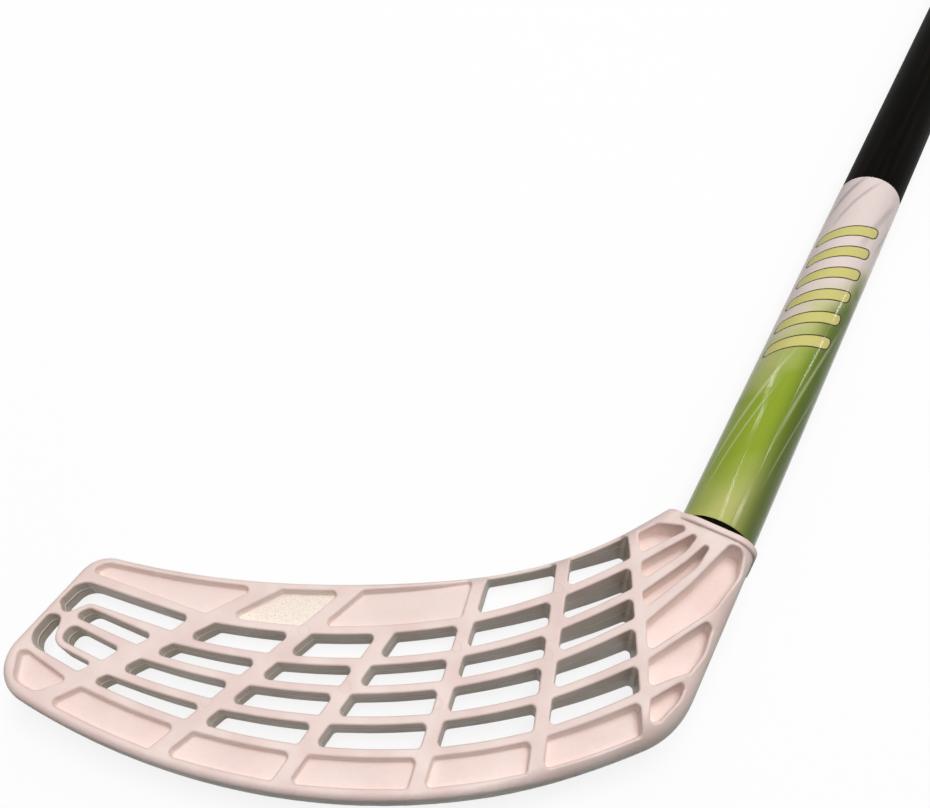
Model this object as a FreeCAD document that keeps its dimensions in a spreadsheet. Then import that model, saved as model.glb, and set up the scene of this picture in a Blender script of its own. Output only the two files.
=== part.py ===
"""Floorball stick: a hooked, ribbed blade pushed into a tube shaft, with its film wrap, screws, grip and cap.

Every piece is drawn in the shaft's frame: the shaft runs along +Y from the blade's shoulder at zero,
and +Z is the side that the hollow of the blade faces. The blade is drawn in a frame of its own,
with the toe along -X and the sole along -Y, and is turned by the lie angle about Z.
At the end the whole stick is rolled about its shaft onto the floor.
"""
import FreeCAD
import Part
import math
import os
from FreeCAD import Placement, Rotation, Vector

SIZES = {
    # shaft tube and the film round its lower end
    "shaft_length": 900.0,
    "shaft_radius": 12.5,
    "shaft_wall": 1.6,
    "film_start": 2.4,
    "film_length": 185.8,
    "film_thickness": 0.2,
    "film_seam": 1.2,
    "film_seam_offset": 6.0,
    "film_hole_clearance": 0.5,
    "film_clearance": 0.02,
    # grip, its closing tape and the butt cap
    "grip_length": 300.0,
    "grip_thickness": 2.2,
    "grip_clearance": 0.05,
    "tape_length": 26.0,
    "tape_overlap": 13.0,
    "tape_thickness": 0.4,
    "tape_press": 0.25,
    "cap_flange": 6.0,
    "cap_round": 2.5,
    "cap_plug_length": 28.0,
    "cap_plug_clearance": 0.1,
    # blade: lie, reach, hook and thickness
    "lie_angle": 127.7,
    "toe_reach": 220.5,
    "blade_height": 67.0,
    "hook_start": 40.0,
    "hook_depth": 24.0,
    "toe_thickness": 9.0,
    "neck_thickness": 26.5,
    "swell_start": 91.5,
    "swell_end": -14.0,
    # blade: outline
    "top_radius": 302.8,
    "sole_radius": 217.2,
    "toe_slant": 55.3,
    "toe_foot_corner": 13.0,
    "toe_head_corner": 9.0,
    "heel_corner": 32.0,
    "heel_offset": 13.85,
    "rim_round": 2.0,
    "neck_start": 34.0,
    "neck_start_round": 4.0,
    "neck_round": 10.0,
    "heel_round": 8.0,
    # blade: ribs, openings and panels
    "top_rim": 2.3,
    "sole_rim": 3.0,
    "rib_width": 2.7,
    "cross_rib_width": 4.4,
    "heel_rib_width": 3.0,
    "corner_radius": 1.4,
    "edge_round": 0.7,
    # blade: collar at the shoulder and spigot inside the shaft
    "collar_thickness": 2.4,
    "collar_proud": 0.6,
    "collar_round": 8.0,
    "collar_top_round": 12.0,
    "spigot_length": 55.0,
    "spigot_clearance": 0.1,
    "spigot_chamfer": 1.5,
    # blade screws
    "screw_radius": 1.75,
    "screw_length": 12.0,
    "screw_point": 3.0,
    "screw_head_radius": 3.2,
    "screw_head_height": 2.0,
    "screw_slot_width": 0.9,
    "screw_slot_length": 3.6,
    "screw_slot_depth": 1.1,
    "screw_clearance": 0.1,
    "screw_place": 16.0,
    "screw_spacing": 24.0,
    # how the stick lies, in degrees of roll about the shaft
    "rest_roll": 9.35,
    # how far every cutting tool runs past what it cuts
    "overrun": 12.0,
}
SCREW_COUNT = 2

# Lowest point of each long rib below the top edge, and its place from the shoulder to the toe.
rib_drop_shares = (0.236, 0.388, 0.522, 0.666, 0.813)
rib_low_shares = (0.438, 0.438, 0.430, 0.414, 0.402)
# Radius of each long rib, as a share of the sole's.
rib_radius_shares = (1.087, 1.025, 0.986, 1.010, 0.966)
top_low_share = 0.423
sole_low_share = 0.404
# Cross ribs run from a place on the line of the top edge to one on the line of the sole.
cross_head_shares = (0.125, 0.2286, 0.3515, 0.438, 0.536, 0.683)
cross_foot_shares = (0.179, 0.3306, 0.4884, 0.6884, 0.933, 1.340)
# Web left between the panels of the two faces, as a share of the thickness around it.
web_share = 0.30
# How much of half the blade's thickness the round of its rim may take up.
rim_share = 0.94
# How much of an edge the bend in its middle takes up.
bend_share = 0.38
# How much of a rib the round of each of its edges may take up, and the ribs' share for a corner.
eased_share = 0.31
tight_corner_share = 0.6
# Stations of the thickness and hook curves, from past the toe to past the heel.
station_shares = (-1.09, -1.0, -0.9, -0.8, -0.7, -0.6, -0.5, -0.42, -0.34,
                  -0.26, -0.18, -0.1, -0.02, 0.06, 0.16)

# Toe slots and end panels: places along the reach and below the top edge, and corner radii in
# shares of the corner radius. Slots lie in rows 2 to 5; the last one turns up round the toe.
toe_slot_shares = (
    ((0.769, 0.076, 1.0), (0.793, 0.137, 1.0), (0.902, -0.025, 2.4), (0.934, 0.022, 1.2),
     (0.941, -0.044, 1.2), (0.917, -0.143, 3.8)),
    ((0.816, 0.155, 0.9), (0.837, 0.191, 0.9), (0.921, 0.037, 1.0), (0.902, 0.0, 1.7)),
    ((0.857, 0.207, 0.9), (0.879, 0.254, 0.9), (0.935, 0.142, 1.9), (0.921, 0.075, 1.6)),
    ((0.890, 0.269, 0.8), (0.908, 0.296, 0.8), (0.976, 0.142, 4.2), (0.952, 0.016, 1.5),
     (0.936, 0.031, 1.5), (0.943, 0.160, 3.4)),
)
toe_top_end_shares = ((0.885, -0.225, 3.4), (0.907, -0.186, 1.2))
toe_sole_panel_shares = (
    (0.918, 0.334, 0.8), (0.957, 0.374, 2.8), (0.984, 0.312, 2.8),
    (0.982, 0.186, 1.5), (0.972, 0.188, 1.0),
)
# Heel fan panels beyond the heel rib, from the top edge down, in the same shares.
heel_panel_shares = (
    ((0.113, -0.057, 1.0), (0.083, -0.080, 1.0), (0.036, -0.025, 0.8),
     (0.071, 0.009, 6.0), (0.120, 0.058, 1.0)),
    ((0.121, 0.103, 1.0), (0.077, 0.054, 9.0), (0.021, -0.006, 0.9),
     (0.055, 0.092, 9.0), (0.127, 0.192, 1.0)),
    ((0.131, 0.252, 1.0), (0.060, 0.145, 9.0), (0.004, 0.036, 1.0),
     (0.047, 0.183, 9.0), (0.134, 0.328, 1.0)),
    ((0.137, 0.395, 1.0), (0.064, 0.262, 12.0), (-0.009, 0.098, 1.6), (-0.026, 0.132, 1.6),
     (-0.012, 0.236, 9.0), (0.043, 0.398, 9.0), (0.145, 0.532, 1.0)),
    ((0.147, 0.568, 1.0), (0.042, 0.424, 1.0), (0.070, 0.572, 9.0),
     (0.098, 0.652, 2.0), (0.156, 0.688, 1.0)),
    ((0.158, 0.742, 1.0), (0.103, 0.678, 1.0), (0.119, 0.752, 6.0),
     (0.152, 0.827, 2.0), (0.166, 0.832, 1.0)),
)

doc = FreeCAD.newDocument("floorball_stick")
sheet = doc.addObject("Spreadsheet::Sheet", "sizes")
for row, (alias, number) in enumerate(SIZES.items(), start=1):
    sheet.set(f"A{row}", alias.replace("_", " "))
    sheet.set(f"B{row}", str(number))
    sheet.setAlias(f"B{row}", alias)
doc.recompute()

size = {alias: float(sheet.get(alias)) for alias in SIZES}
ALONG_SHAFT = Rotation(Vector(1, 0, 0), -90)


def bind(thing, **cells):
    """Bind properties of a document object to expressions over the sheet; double underscores are dots."""
    for path, expression in cells.items():
        thing.setExpression(path.replace("__", "."), expression)


def shaft_cylinder(name, radius, length, start="0"):
    """Cylinder along the shaft, from a place on its axis."""
    rod = doc.addObject("Part::Cylinder", name)
    rod.Placement = Placement(Vector(), ALONG_SHAFT)
    bind(rod, Radius=radius, Height=length, Placement__Base__y=start)
    return rod


def screw_cylinder(name, radius, length, index, start):
    """Cylinder along one blade screw, which enters from the back of the shaft; start is its place along Z."""
    rod = doc.addObject("Part::Cylinder", name)
    bind(rod, Radius=radius, Height=length, Placement__Base__z=start,
         Placement__Base__y=f"sizes.screw_place + {index} * sizes.screw_spacing")
    return rod


def joined(kind, name, base, *tools):
    """Cut, fuse or intersect a base with tools, one document feature after another."""
    for step, tool in enumerate(tools, start=1):
        feature = doc.addObject(f"Part::{kind}", f"{name}_{kind.lower()}_{step}")
        feature.Base = base
        feature.Tool = tool
        base = feature
    return base


# Plane geometry of the blade


def outward(start, end, distance):
    """Point on the ray from start through end, at a distance from start."""
    return start + (end - start).normalize() * distance


def meet(point, direction, centre, radius):
    """Lower crossing of a line with a circle."""
    to_point = point - centre
    along = to_point.dot(direction)
    reach = math.sqrt(along ** 2 - to_point.dot(to_point) + radius ** 2)
    crossings = (point + direction * (-along - reach), point + direction * (-along + reach))
    return min(crossings, key=lambda place: place.y)


def arc_about(start, end, centre):
    """Arc from start to end about a centre, the short way round."""
    middle = outward(centre, (start + end) * 0.5, (start - centre).Length)
    return Part.Arc(start, middle, end).toShape()


def rounded_loop(corners):
    """Closed wire of straight runs with an arc at every (point, radius); arcs are limited by their runs."""
    arcs = []
    for index, (point, radius) in enumerate(corners):
        before = corners[index - 1][0] - point
        after = corners[(index + 1) % len(corners)][0] - point
        half = before.getAngle(after) / 2
        room = min(before.Length, after.Length) * 0.47
        radius = min(radius, room * math.tan(half))
        cut = radius / math.tan(half)
        start = point + before.normalize() * cut
        end = point + after.normalize() * cut
        middle = outward(point, (start + end) * 0.5, radius / math.sin(half) - radius)
        arcs.append((start, middle, end))
    edges = []
    for index, arc in enumerate(arcs):
        edges.append(Part.Arc(*arc).toShape())
        edges.append(Part.makeLine(arc[2], arcs[(index + 1) % len(arcs)][0]))
    return Part.Wire(edges)


def bend(start, end, centre, radius):
    """Corner in the middle of an edge that follows a circle, with an arc over part of its length."""
    middle = outward(centre, (start + end) * 0.5, radius)
    turn = math.pi - (start - middle).getAngle(end - middle)
    return middle, (end - start).Length * bend_share / math.tan(turn / 2)


lie = math.radians(180 - size["lie_angle"])
up_shaft = Vector(math.cos(lie), math.sin(lie), 0)
heelward = Vector(math.sin(lie), -math.cos(lie), 0)
reach = size["toe_reach"]
height = size["blade_height"]
top_centre = Vector(-top_low_share * reach, size["top_radius"], 0)
sole_centre = Vector(-sole_low_share * reach, size["sole_radius"] - height, 0)
top_rim_curve = (top_centre, size["top_radius"] + size["top_rim"])
sole_rim_curve = (sole_centre, size["sole_radius"] - size["sole_rim"])


def share_point(along, below):
    """Point at shares of the reach towards the toe and of the height below the top edge."""
    return Vector(-along * reach, -below * height, 0)


def share_corners(table):
    """Corners of a loop from rows of shares: along, below, radius."""
    return [(share_point(along, below), share * size["corner_radius"]) for along, below, share in table]


def rib_curve(row, side):
    """Circle along the lower (+1) or upper (-1) edge of a long rib."""
    radius = rib_radius_shares[row] * size["sole_radius"]
    centre = share_point(rib_low_shares[row], rib_drop_shares[row]) + Vector(0, radius, 0)
    return centre, radius + side * size["rib_width"] / 2


def cross_edge(index, side):
    """Point and direction of the heel (+1) or toe (-1) edge of a cross rib."""
    head = share_point(cross_head_shares[index], 0)
    foot = share_point(cross_foot_shares[index], 1)
    down = (foot - head).normalize()
    width = size["cross_rib_width"] if index else size["heel_rib_width"]
    return head + Vector(-down.y, down.x, 0) * (side * width / 2), down


def cell(upper, lower, heel_rib, toe_rib):
    """Loop of the field between two curves and two cross ribs."""
    radius = size["corner_radius"]
    heel_edge = cross_edge(heel_rib, -1)
    toe_edge = cross_edge(toe_rib, 1)
    heel_top = meet(*heel_edge, *upper)
    toe_top = meet(*toe_edge, *upper)
    toe_foot = meet(*toe_edge, *lower)
    heel_foot = meet(*heel_edge, *lower)
    return rounded_loop([
        (heel_top, radius), bend(heel_top, toe_top, *upper), (toe_top, radius),
        (toe_foot, radius), bend(toe_foot, heel_foot, *lower), (heel_foot, radius),
    ])


def opening_loops():
    """Openings: five rows in the two heel columns, four in the next three, and four slots at the toe."""
    loops = []
    for column in range(5):
        for row in range(0 if column < 2 else 1, 5):
            upper = rib_curve(row - 1, 1) if row else top_rim_curve
            loops.append(cell(upper, rib_curve(row, -1), column, column + 1))
    for table in toe_slot_shares:
        loops.append(rounded_loop(share_corners(table)))
    return loops


def panel_loops():
    """Panels: three below the top edge, six above the sole and six in the heel fan."""
    first_rib = rib_curve(0, -1)
    last_rib = rib_curve(4, 1)
    loops = [cell(top_rim_curve, first_rib, 2, 4), cell(top_rim_curve, first_rib, 4, 5)]
    toe_edge = cross_edge(5, -1)
    head = meet(*toe_edge, *top_rim_curve)
    foot = meet(*toe_edge, *first_rib)
    toe_end = share_corners(toe_top_end_shares)
    loops.append(rounded_loop([
        (head, size["corner_radius"]), bend(head, toe_end[0][0], *top_rim_curve), *toe_end,
        (foot, size["corner_radius"]),
    ]))
    for column in range(5):
        loops.append(cell(last_rib, sole_rim_curve, column, column + 1))
    loops.append(rounded_loop(share_corners(toe_sole_panel_shares)))
    for table in heel_panel_shares:
        loops.append(rounded_loop(share_corners(table)))
    return loops


def outline_loop():
    """Outline: shoulder, heel edge and corner, sole, toe and top edge, split where the rim changes."""
    shoulder_heel = heelward * size["heel_offset"]
    shoulder_top = meet(Vector(), heelward, top_centre, size["top_radius"])
    heel_corner = size["heel_corner"]
    heel_centre = meet(shoulder_heel - heelward * heel_corner, up_shaft, sole_centre,
                       size["sole_radius"] - heel_corner)
    heel_start = heel_centre + heelward * heel_corner
    heel_end = outward(sole_centre, heel_centre, size["sole_radius"])
    slant = math.radians(size["toe_slant"])
    toe_down = Vector(-math.cos(slant), -math.sin(slant), 0)
    toe_in = Vector(math.sin(slant), -math.cos(slant), 0)
    foot_corner = size["toe_foot_corner"]
    head_corner = size["toe_head_corner"]
    toe_foot_centre = meet(Vector(foot_corner - reach, 0, 0), Vector(0, 1, 0), sole_centre,
                           size["sole_radius"] - foot_corner)
    sole_end = outward(sole_centre, toe_foot_centre, size["sole_radius"])
    toe_start = toe_foot_centre - toe_in * foot_corner
    toe_head_centre = meet(toe_start + toe_in * head_corner, toe_down, top_centre,
                           size["top_radius"] + head_corner)
    toe_end = toe_head_centre - toe_in * head_corner
    top_start = outward(top_centre, toe_head_centre, size["top_radius"])
    swell = Vector(-size["swell_start"], 0, 0)
    sole_swell = meet(swell, Vector(0, 1, 0), sole_centre, size["sole_radius"])
    top_swell = meet(swell, Vector(0, 1, 0), top_centre, size["top_radius"])
    neck = meet(Vector(-size["neck_start"], 0, 0), Vector(0, 1, 0), top_centre, size["top_radius"])
    return Part.Wire([
        Part.makeLine(shoulder_top, shoulder_heel), Part.makeLine(shoulder_heel, heel_start),
        arc_about(heel_start, heel_end, heel_centre), arc_about(heel_end, sole_swell, sole_centre),
        arc_about(sole_swell, sole_end, sole_centre), arc_about(sole_end, toe_start, toe_foot_centre),
        Part.makeLine(toe_start, toe_end), arc_about(toe_end, top_start, toe_head_centre),
        arc_about(top_start, top_swell, top_centre), arc_about(top_swell, neck, top_centre),
        arc_about(neck, shoulder_top, top_centre),
    ])


# Solids of the blade


def hook(x):
    """Rise of the blade's middle surface: flat by the neck, then one arc to the toe."""
    past = max(0, -x - size["hook_start"])
    span = reach - size["hook_start"]
    radius = (span ** 2 + size["hook_depth"] ** 2) / (2 * size["hook_depth"])
    return radius - math.sqrt(radius ** 2 - past ** 2)


def thickness(x):
    """Thickness of the blade: even from the toe, then swelling smoothly towards the neck."""
    place = (x + size["swell_start"]) / (size["swell_start"] - size["swell_end"])
    place = min(1, max(0, place))
    swell = place ** 2 * (3 - 2 * place)
    return size["toe_thickness"] + swell * (size["neck_thickness"] - size["toe_thickness"])


def slab(share):
    """Hooked sheet about the middle surface, with a share of the blade's thickness."""
    edges = []
    for side in (-1, 1):
        curve = Part.BSplineCurve()
        places = [station * reach for station in station_shares]
        curve.interpolate([Vector(x, 0, hook(x) + side * share * thickness(x) / 2) for x in places])
        edges.append(curve.toShape())
    for end in (0, -1):
        edges.append(Part.makeLine(edges[0].Vertexes[end].Point, edges[1].Vertexes[end].Point))
    face = Part.Face(Part.Wire(Part.__sortEdges__(edges)))
    face.translate(Vector(0, -height - size["overrun"], 0))
    return face.extrude(Vector(0, 2 * (height + size["overrun"]), 0))


def prism(loop):
    """Prism on a loop, through the whole depth of the blade."""
    depth = size["neck_thickness"] + size["hook_depth"] + size["overrun"]
    face = Part.Face(loop)
    face.translate(Vector(0, 0, -depth))
    return face.extrude(Vector(0, 0, 2 * depth))


def rim_radius(point):
    """Radius of the rounded rim at a corner of the outline: small at the toe, limited by the wall."""
    if point.x < size["edge_round"] - size["swell_start"]:
        radius = size["rim_round"]
    elif point.y < 0:
        radius = size["heel_round"]
    elif point.x < size["edge_round"] - size["neck_start"]:
        radius = size["neck_start_round"]
    else:
        radius = size["neck_round"]
    return min(radius, rim_share * thickness(point.x) / 2)


def is_upright(edge):
    """True of an edge that runs along the draw of the mould."""
    run = edge.Vertexes[-1].Point - edge.Vertexes[0].Point
    return math.hypot(run.x, run.y) < abs(run.z)


def middle_of(edge):
    """Point halfway along an edge."""
    return edge.valueAt((edge.FirstParameter + edge.LastParameter) / 2)


def rounded_blank():
    """Hooked sheet cut to the outline, its rim rounded on the front and then the back, up to the shoulder."""
    base = doc.addObject("Part::Feature", "blade_blank")
    base.Shape = slab(1).common(prism(outline_loop()))
    for side, name in ((1, "blade_front_rim"), (-1, "blade_back_rim")):
        radii = []
        for index, edge in enumerate(base.Shape.Edges, start=1):
            middle = middle_of(edge)
            face_height = hook(middle.x) + side * thickness(middle.x) / 2
            on_face = abs(middle.z - face_height) < size["edge_round"] / 2
            on_shoulder = abs(middle.dot(up_shaft)) < size["edge_round"]
            if on_face and not on_shoulder and not is_upright(edge):
                ends = [edge.valueAt(edge.FirstParameter), edge.valueAt(edge.LastParameter)]
                radii.append((index, rim_radius(ends[0]), rim_radius(ends[1])))
        rim = doc.addObject("Part::Fillet", name)
        rim.Base = base
        rim.Edges = radii
        doc.recompute()
        base = rim
    return base.Shape


def collar():
    """Rounded plate at the shoulder, a little proud of the neck, and rounder in front at the top edge."""
    proud = size["collar_proud"]
    half = size["neck_thickness"] / 2 + proud
    heel_side = size["heel_offset"] + proud
    top_side = meet(Vector(), heelward, top_centre, size["top_radius"]).Length + proud
    corners = ((-top_side, -half), (heel_side, -half), (heel_side, half))
    loop = rounded_loop([
        *((Vector(across, up, 0), size["collar_round"]) for across, up in corners),
        (Vector(-top_side, half, 0), size["collar_top_round"]),
    ])
    plate = Part.Face(loop).extrude(Vector(0, 0, size["collar_thickness"]))
    plate = plate.makeFillet(size["edge_round"], [edge for edge in plate.Edges if not is_upright(edge)])
    face_on = Rotation(heelward, Vector(0, 0, 1), heelward.cross(Vector(0, 0, 1)), "XYZ")
    plate.Placement = Placement(Vector(), face_on)
    return plate


def moulded_edges(solid, loops):
    """Edges of a solid that follow one of the loops, on either face or on a panel's floor."""
    found = []
    for edge in solid.Edges:
        if is_upright(edge):
            continue
        point = middle_of(edge)
        flat = Part.Vertex(point.x, point.y, 0)
        for loop in loops:
            box = loop.BoundBox
            box.enlarge(size["edge_round"])
            if box.isInside(flat.Point) and flat.distToShape(loop)[0] < size["edge_round"] / 100:
                found.append(edge)
                break
    return found


def eased(solid, middles):
    """Round the edges with the given middles, by no more than the thinnest rib and corner have room for."""
    edges = []
    for edge in solid.Edges:
        place = middle_of(edge)
        if any((place - middle).Length < size["edge_round"] / 50 for middle in middles):
            edges.append(edge)
    thinnest = min(size["top_rim"], size["sole_rim"], size["rib_width"],
                   size["corner_radius"] / tight_corner_share)
    return solid.makeFillet(min(size["edge_round"], eased_share * thinnest), edges)


def blade_shape():
    """Blade without its spigot, in the blade's own frame; panel floors are rounded first, then the rims."""
    openings = opening_loops()
    panels = panel_loops()
    tools = [prism(loop) for loop in openings]
    web = slab(web_share)
    tools += [prism(loop).cut(web) for loop in panels]
    body = rounded_blank().fuse(collar()).cut(tools)
    groups = {(floor, front): [] for floor in (True, False) for front in (True, False)}
    for edge in moulded_edges(body, openings + panels):
        middle = middle_of(edge)
        rise = (middle.z - hook(middle.x)) / (thickness(middle.x) / 2)
        groups[abs(rise) < 1.2 * web_share, rise > 0].append(middle)
    for middles in groups.values():
        body = eased(body, middles)
    return body


# Pieces in the shaft's frame


def sleeve(name, inner, outer, length, start):
    """Tube along the shaft between two radii."""
    outside = shaft_cylinder(f"{name}_outside", outer, length, start)
    inside = shaft_cylinder(f"{name}_inside", inner, f"{length} + 2 * sizes.overrun",
                            f"{start} - sizes.overrun")
    return joined("Cut", name, outside, inside)


def screw_holes(name, radius, length, start):
    """One cutting cylinder along each blade screw."""
    return [screw_cylinder(f"{name}_{index}", radius, length, index, start) for index in range(SCREW_COUNT)]


BORE = "sizes.shaft_radius - sizes.shaft_wall"
SCREW_HOLE = "sizes.screw_radius + sizes.screw_clearance"
GRIP_OUTSIDE = "sizes.shaft_radius + sizes.grip_clearance + sizes.grip_thickness"
PRESSED_GRIP = f"{GRIP_OUTSIDE} - sizes.tape_press"
GRIP_START = "sizes.shaft_length - sizes.grip_length"
BEFORE_SHAFT = "-sizes.shaft_radius - sizes.overrun"


def make_spigot():
    """Round spigot of the blade, chamfered at its end and drilled for the screws."""
    radius = f"{BORE} - sizes.spigot_clearance"
    core = shaft_cylinder("spigot_core", radius,
                          "sizes.spigot_length - sizes.spigot_chamfer + sizes.collar_thickness / 2",
                          "-sizes.collar_thickness / 2")
    tip = doc.addObject("Part::Cone", "spigot_tip")
    tip.Placement = Placement(Vector(), ALONG_SHAFT)
    bind(tip, Radius1=radius, Radius2=f"{radius} - sizes.spigot_chamfer", Height="sizes.spigot_chamfer",
         Placement__Base__y="sizes.spigot_length - sizes.spigot_chamfer")
    pilots = screw_holes("spigot_pilot", SCREW_HOLE, "sizes.screw_length + sizes.screw_clearance",
                         "-sizes.shaft_radius")
    return joined("Cut", "spigot", joined("Fuse", "spigot", core, tip), *pilots)


def make_blade():
    """Blade with its spigot, in one moulding."""
    spigot = make_spigot()
    doc.recompute()
    moulding = blade_shape()
    moulding.rotate(Vector(), Vector(0, 0, 1), 90 - math.degrees(lie))
    blade = doc.addObject("Part::Feature", "blade")
    blade.Shape = moulding.fuse(spigot.Shape).Solids[0]
    return blade


def make_tube():
    """Shaft tube with a hole through its back for each screw."""
    tube = sleeve("shaft", BORE, "sizes.shaft_radius", "sizes.shaft_length", "0")
    holes = screw_holes("shaft_hole", SCREW_HOLE, "sizes.overrun + 2 * sizes.shaft_wall", BEFORE_SHAFT)
    return joined("Cut", "shaft_tube", tube, *holes)


def make_film():
    """Printed film round the lower end of the shaft, seamed at the back, with a hole over each screw head."""
    inside = "sizes.shaft_radius + sizes.film_clearance"
    film = sleeve("film", inside, f"{inside} + sizes.film_thickness", "sizes.film_length", "sizes.film_start")
    seam = doc.addObject("Part::Box", "film_seam")
    bind(seam, Length="sizes.film_seam", Width="sizes.film_length + 2 * sizes.overrun",
         Height="sizes.shaft_radius + sizes.overrun", Placement__Base__x="sizes.film_seam_offset",
         Placement__Base__y="sizes.film_start - sizes.overrun", Placement__Base__z=BEFORE_SHAFT)
    holes = screw_holes("film_hole", "sizes.screw_head_radius + sizes.film_hole_clearance",
                        "sizes.shaft_radius + sizes.overrun", BEFORE_SHAFT)
    return joined("Cut", "decal_wrap", film, seam, *holes)


def make_screw(index):
    """Blade screw: round head with a cross slot, shank and point."""
    place = f"sizes.screw_place + {index} * sizes.screw_spacing"
    shank_length = "sizes.screw_length - sizes.screw_point"
    head_start = "-sizes.shaft_radius - sizes.screw_head_height"
    head = screw_cylinder(f"screw_head_{index}", "sizes.screw_head_radius", "sizes.screw_head_height",
                          index, head_start)
    shank = screw_cylinder(f"screw_shank_{index}", "sizes.screw_radius", shank_length,
                           index, "-sizes.shaft_radius")
    point = doc.addObject("Part::Cone", f"screw_point_{index}")
    bind(point, Radius1="sizes.screw_radius", Radius2="sizes.screw_radius / 8", Height="sizes.screw_point",
         Placement__Base__y=place, Placement__Base__z=f"{shank_length} - sizes.shaft_radius")
    slots = []
    sides = ("sizes.screw_slot_length", "sizes.screw_slot_width")
    for way, (across, along) in enumerate((sides, sides[::-1])):
        slot = doc.addObject("Part::Box", f"screw_slot_{index}_{way}")
        bind(slot, Length=across, Width=along, Height="sizes.screw_slot_depth + sizes.overrun",
             Placement__Base__x=f"-{across} / 2", Placement__Base__y=f"{place} - {along} / 2",
             Placement__Base__z=f"{head_start} - sizes.overrun")
        slots.append(slot)
    return joined("Cut", f"screw_{index}", joined("Fuse", f"screw_{index}", head, shank, point), *slots)


def make_screws():
    """Both blade screws as one group of solids."""
    screws = doc.addObject("Part::Compound", "blade_screws")
    screws.Links = [make_screw(index) for index in range(SCREW_COUNT)]
    return screws


def make_grip():
    """Grip wrap over the upper end of the shaft, pressed in a little under its closing tape."""
    full = shaft_cylinder("grip_full", GRIP_OUTSIDE, "sizes.grip_length - sizes.tape_overlap",
                          f"{GRIP_START} + sizes.tape_overlap")
    pressed = shaft_cylinder("grip_pressed", PRESSED_GRIP, "sizes.grip_length", GRIP_START)
    room = shaft_cylinder("grip_room", "sizes.shaft_radius + sizes.grip_clearance",
                          "sizes.grip_length + 2 * sizes.overrun", f"{GRIP_START} - sizes.overrun")
    return joined("Cut", "grip_tape", joined("Fuse", "grip", full, pressed), room)


def make_tape():
    """Closing tape: half on the shaft, a step over the end of the grip, half on the pressed grip."""
    on_shaft = "sizes.shaft_radius + sizes.grip_clearance"
    on_grip = f"{PRESSED_GRIP} + sizes.grip_clearance"
    start = f"{GRIP_START} - sizes.tape_length + sizes.tape_overlap"
    step = f"{GRIP_START} - sizes.grip_clearance"
    low = shaft_cylinder("tape_low", f"{on_shaft} + sizes.tape_thickness",
                         "sizes.tape_length - sizes.tape_overlap", start)
    high = shaft_cylinder("tape_high", f"{on_grip} + sizes.tape_thickness",
                          "sizes.tape_overlap + sizes.grip_clearance + sizes.tape_thickness",
                          f"{step} - sizes.tape_thickness")
    shaft_room = shaft_cylinder("tape_shaft_room", on_shaft, "sizes.tape_length + 2 * sizes.overrun",
                                f"{start} - sizes.overrun")
    grip_room = shaft_cylinder("tape_grip_room", on_grip, "sizes.tape_overlap + sizes.overrun", step)
    return joined("Cut", "grip_finish_tape", joined("Fuse", "tape", low, high), shaft_room, grip_room)


def make_cap():
    """Butt cap: a plug inside the shaft and a rounded flange over the ends of the shaft and the grip."""
    plug = shaft_cylinder("cap_plug", f"{BORE} - sizes.cap_plug_clearance",
                          "sizes.cap_plug_length + sizes.cap_flange / 2",
                          "sizes.shaft_length - sizes.cap_plug_length")
    flange = shaft_cylinder("cap_flange", GRIP_OUTSIDE, "sizes.cap_flange", "sizes.shaft_length")
    blank = joined("Fuse", "cap", plug, flange)
    doc.recompute()
    far_end = size["shaft_length"] + size["cap_flange"]
    rims = [index for index, edge in enumerate(blank.Shape.Edges, start=1)
            if all(abs(vertex.Y - far_end) < size["edge_round"] for vertex in edge.Vertexes)]
    cap = doc.addObject("Part::Fillet", "end_cap")
    cap.Base = blank
    cap.Edges = [(index, size["cap_round"], size["cap_round"]) for index in rims]
    return cap


pieces = {
    "blade": make_blade(),
    "shaft_tube": make_tube(),
    "decal_wrap": make_film(),
    "blade_screws": make_screws(),
    "grip_tape": make_grip(),
    "grip_finish_tape": make_tape(),
    "end_cap": make_cap(),
}
doc.recompute()

# Roll the stick onto the floor and put the middle of its footprint at the origin.
roll = Placement(Vector(), Rotation(Vector(0, 1, 0), -size["rest_roll"]))
box = FreeCAD.BoundBox()
for piece in pieces.values():
    rolled = piece.Shape.copy()
    rolled.Placement = roll
    box.add(rolled.optimalBoundingBox())
shift = Vector(-box.Center.x, -box.Center.y, -box.ZMin)
for label, piece in pieces.items():
    piece.Label = label
    piece.Placement = Placement(shift, roll.Rotation)
doc.recompute()

for thing in doc.Objects:
    if "Invalid" in thing.State or "Error" in thing.State:
        raise RuntimeError(f"{thing.Name} did not build: {thing.State}")
os.makedirs("parts", exist_ok=True)
for label, piece in pieces.items():
    if piece.Shape.isNull() or not piece.Shape.isValid():
        raise RuntimeError(f"{label} has no valid shape")
    piece.Shape.exportStep(f"parts/{label}.step")
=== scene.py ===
"""Floorball stick: finishes, wound grip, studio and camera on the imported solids.

Laid out as an add-on and run as a script. Lengths are metres in the frame of the solids: the stick lies on
the floor with the hollow of its blade up, and its shaft runs along +Y from the shoulder of the blade.
"""
import math

import bmesh
import bpy
from bpy.props import FloatProperty, FloatVectorProperty, IntProperty, PointerProperty
from mathutils import Matrix, Vector


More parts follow.
